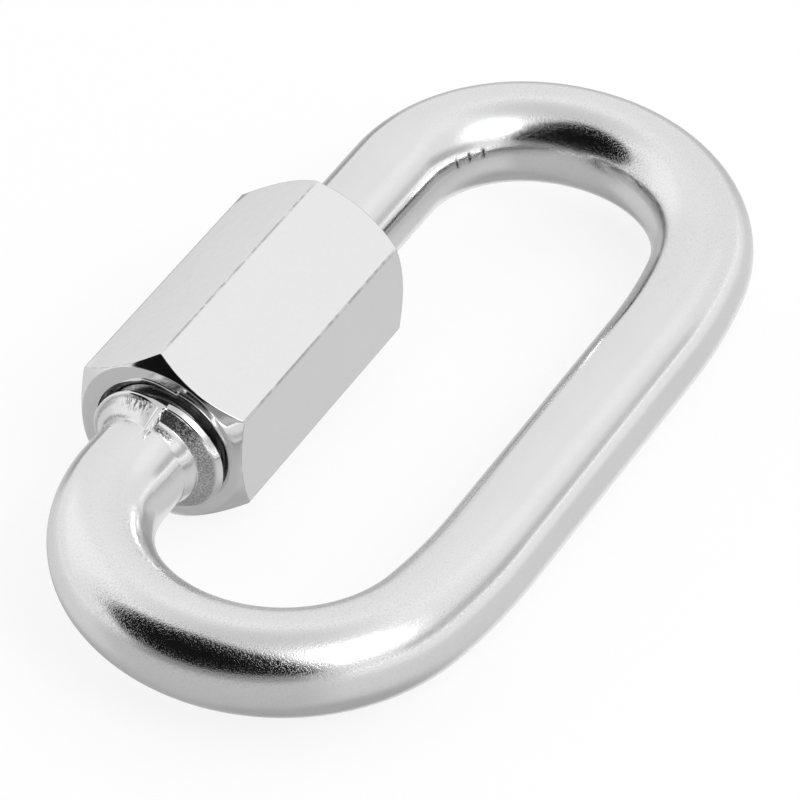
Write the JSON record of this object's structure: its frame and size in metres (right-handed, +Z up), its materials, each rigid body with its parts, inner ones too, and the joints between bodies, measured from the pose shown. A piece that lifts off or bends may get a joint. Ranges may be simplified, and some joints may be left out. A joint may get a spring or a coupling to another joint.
{
  "type": "screw-sleeve quick link",
  "caption": "Oval rod link of bright zinc-plated steel, closed on one long side by a hexagonal sleeve nut that screws across its gap.",
  "frame": {"origin": "centre of the link's footprint on the surface it lies on", "axes": "+X along the sleeve's axis, from the stop collar to the bow the sleeve opens towards; +Z up; the link lies on its spine rod and the sleeve's lowest corner, so its plane leans 8.6 degrees about X"},
  "size_m": [0.0732, 0.038, 0.0161],
  "materials": {
    "plated_rod": "bright zinc plate over bent rod, faint orange-peel texture",
    "plated_sleeve": "bright zinc plate over smooth hexagon flats"
  },
  "bodies": {
    "link": {"link_body": "plated_rod"},
    "sleeve": {"screw_sleeve": "plated_sleeve"}
  },
  "joints": [
    {"name": "sleeve_travel", "type": "slide", "parent": "link", "child": "sleeve", "axis": [1, 0, 0], "range_m": [0, 0.0135]}
  ]
}
